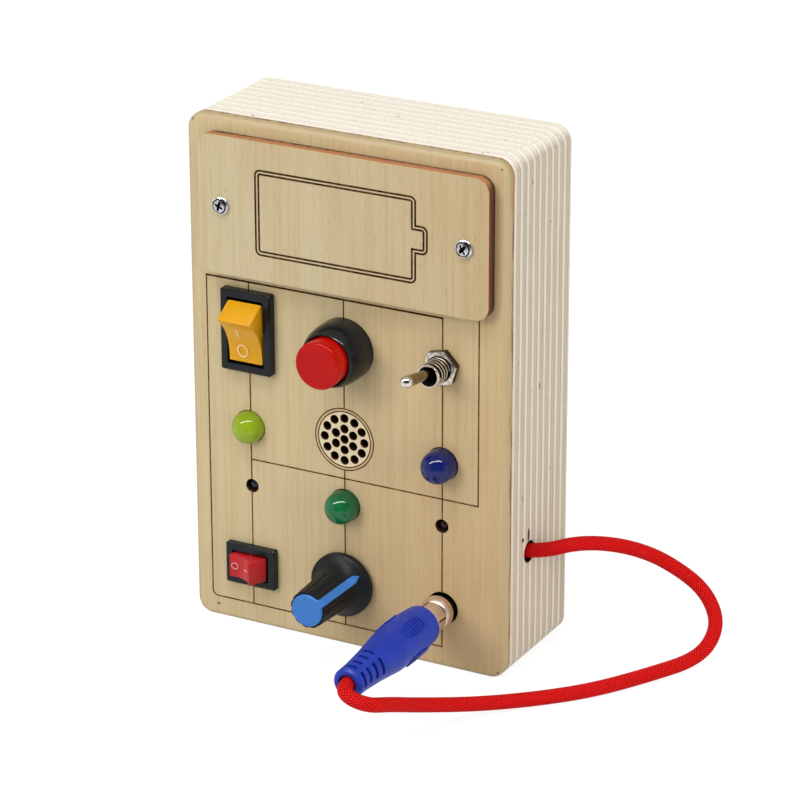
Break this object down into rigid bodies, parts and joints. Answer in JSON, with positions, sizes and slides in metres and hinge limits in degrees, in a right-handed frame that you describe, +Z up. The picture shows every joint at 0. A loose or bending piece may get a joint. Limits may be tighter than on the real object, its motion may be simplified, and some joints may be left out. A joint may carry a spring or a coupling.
{
  "type": "busy board",
  "caption": "Wooden busy board for a toddler: a plywood box with rocker switches, a push-button, a toggle, lamps, a pointer knob, a battery hatch and a plug on a red cord.",
  "frame": {"origin": "centre of the box's underside, on the surface that the box stands on", "axes": "+Z up, -Y out of the face with the controls, +X to the right of someone who faces the controls"},
  "size_m": [0.1241, 0.0923, 0.128],
  "materials": {
    "birch_ply": "sanded, unfinished",
    "birch_sheet": "laser-cut, unfinished",
    "black_plastic": "gloss",
    "black_satin": "satin",
    "yellow_plastic": "gloss",
    "red_plastic": "gloss",
    "button_red": "gloss",
    "blue_cap": "satin",
    "plug_blue": "satin",
    "lime_lens": "gloss",
    "blue_lens": "gloss",
    "green_lens": "gloss",
    "grey_lens": "gloss",
    "purple_lens": "gloss",
    "nickel": "bright plated",
    "zinc": "zinc plated",
    "tinned_brass": "tinned",
    "cell_wrap": "printed sleeve",
    "tray_plastic": "matt",
    "cone_paper": "matt",
    "magnet": "plain",
    "red_braid": "woven"
  },
  "bodies": {
    "box": {"housing": "birch_ply", "front_panel": "birch_sheet", "battery_tray": "tray_plastic", "battery_cell_upper": "cell_wrap", "battery_cell_lower": "cell_wrap", "battery_spring_upper": "nickel", "battery_spring_lower": "nickel", "battery_contact_upper": "nickel", "battery_contact_lower": "nickel", "battery_link_plate": "nickel", "rocker_large_frame": "black_plastic", "rocker_large_lug_upper": "tinned_brass", "rocker_large_lug_lower": "tinned_brass", "rocker_small_frame": "black_plastic", "rocker_small_lug_left": "tinned_brass", "rocker_small_lug_right": "tinned_brass", "button_barrel": "black_plastic", "button_nut": "black_plastic", "toggle_body": "tray_plastic", "toggle_bushing": "nickel", "toggle_nut": "nickel", "toggle_lug_upper": "tinned_brass", "toggle_lug_middle": "tinned_brass", "toggle_lug_lower": "tinned_brass", "led_lime": "lime_lens", "led_blue": "blue_lens", "led_green": "green_lens", "led_small_left": "grey_lens", "led_small_right": "purple_lens", "speaker_frame": "zinc", "speaker_cone": "cone_paper", "speaker_magnet": "magnet", "pot_body": "zinc", "pot_bushing": "nickel", "pot_nut": "nickel", "socket_body": "tray_plastic", "socket_barrel": "nickel", "cord": "red_braid", "cord_knot": "red_braid"},
    "cover": {"battery_cover": "birch_sheet"},
    "screw_left": {"cover_screw_left": "zinc"},
    "screw_right": {"cover_screw_right": "zinc"},
    "rocker_large": {"rocker_large_paddle": "yellow_plastic"},
    "rocker_small": {"rocker_small_paddle": "red_plastic"},
    "button": {"button_cap": "button_red"},
    "toggle": {"toggle_lever": "nickel"},
    "knob": {"knob_body": "black_satin", "knob_cap": "blue_cap", "pot_shaft": "zinc"},
    "plug": {"plug_collar": "nickel", "plug_pin": "nickel", "plug_body": "plug_blue"}
  },
  "joints": [
    {"name": "cover_lift", "type": "slide", "parent": "box", "child": "cover", "axis": [0, -1, 0], "range_m": [0, 0.025]},
    {"name": "screw_left_draw", "type": "slide", "parent": "cover", "child": "screw_left", "axis": [0, -1, 0], "range_m": [0, 0.008]},
    {"name": "screw_right_draw", "type": "slide", "parent": "cover", "child": "screw_right", "axis": [0, -1, 0], "range_m": [0, 0.008]},
    {"name": "rocker_large_tilt", "type": "hinge", "parent": "box", "child": "rocker_large", "pos_m": [-0.0259, -0.0177, 0.0763], "axis": [1, 0, 0], "range_deg": [-40, 0]},
    {"name": "rocker_small_tilt", "type": "hinge", "parent": "box", "child": "rocker_small", "pos_m": [-0.0259, -0.0175, 0.0158], "axis": [0, 0, 1], "range_deg": [0, 46]},
    {"name": "button_press", "type": "slide", "parent": "box", "child": "button", "axis": [0, 1, 0], "range_m": [0, 0.0028], "stiffness_N_per_m": 120},
    {"name": "toggle_throw", "type": "hinge", "parent": "box", "child": "toggle", "pos_m": [0.0255, -0.0197, 0.0765], "axis": [1, 0, 0], "range_deg": [0, 18]},
    {"name": "knob_turn", "type": "hinge", "parent": "box", "child": "knob", "pos_m": [-0.00075, -0.0245, 0.0164], "axis": [0, 1, 0], "range_deg": [-205, 95]},
    {"name": "plug_pull", "type": "slide", "parent": "box", "child": "plug", "axis": [0, -1, 0], "range_m": [0, 0.012], "deforming": ["cord"]}
  ]
}
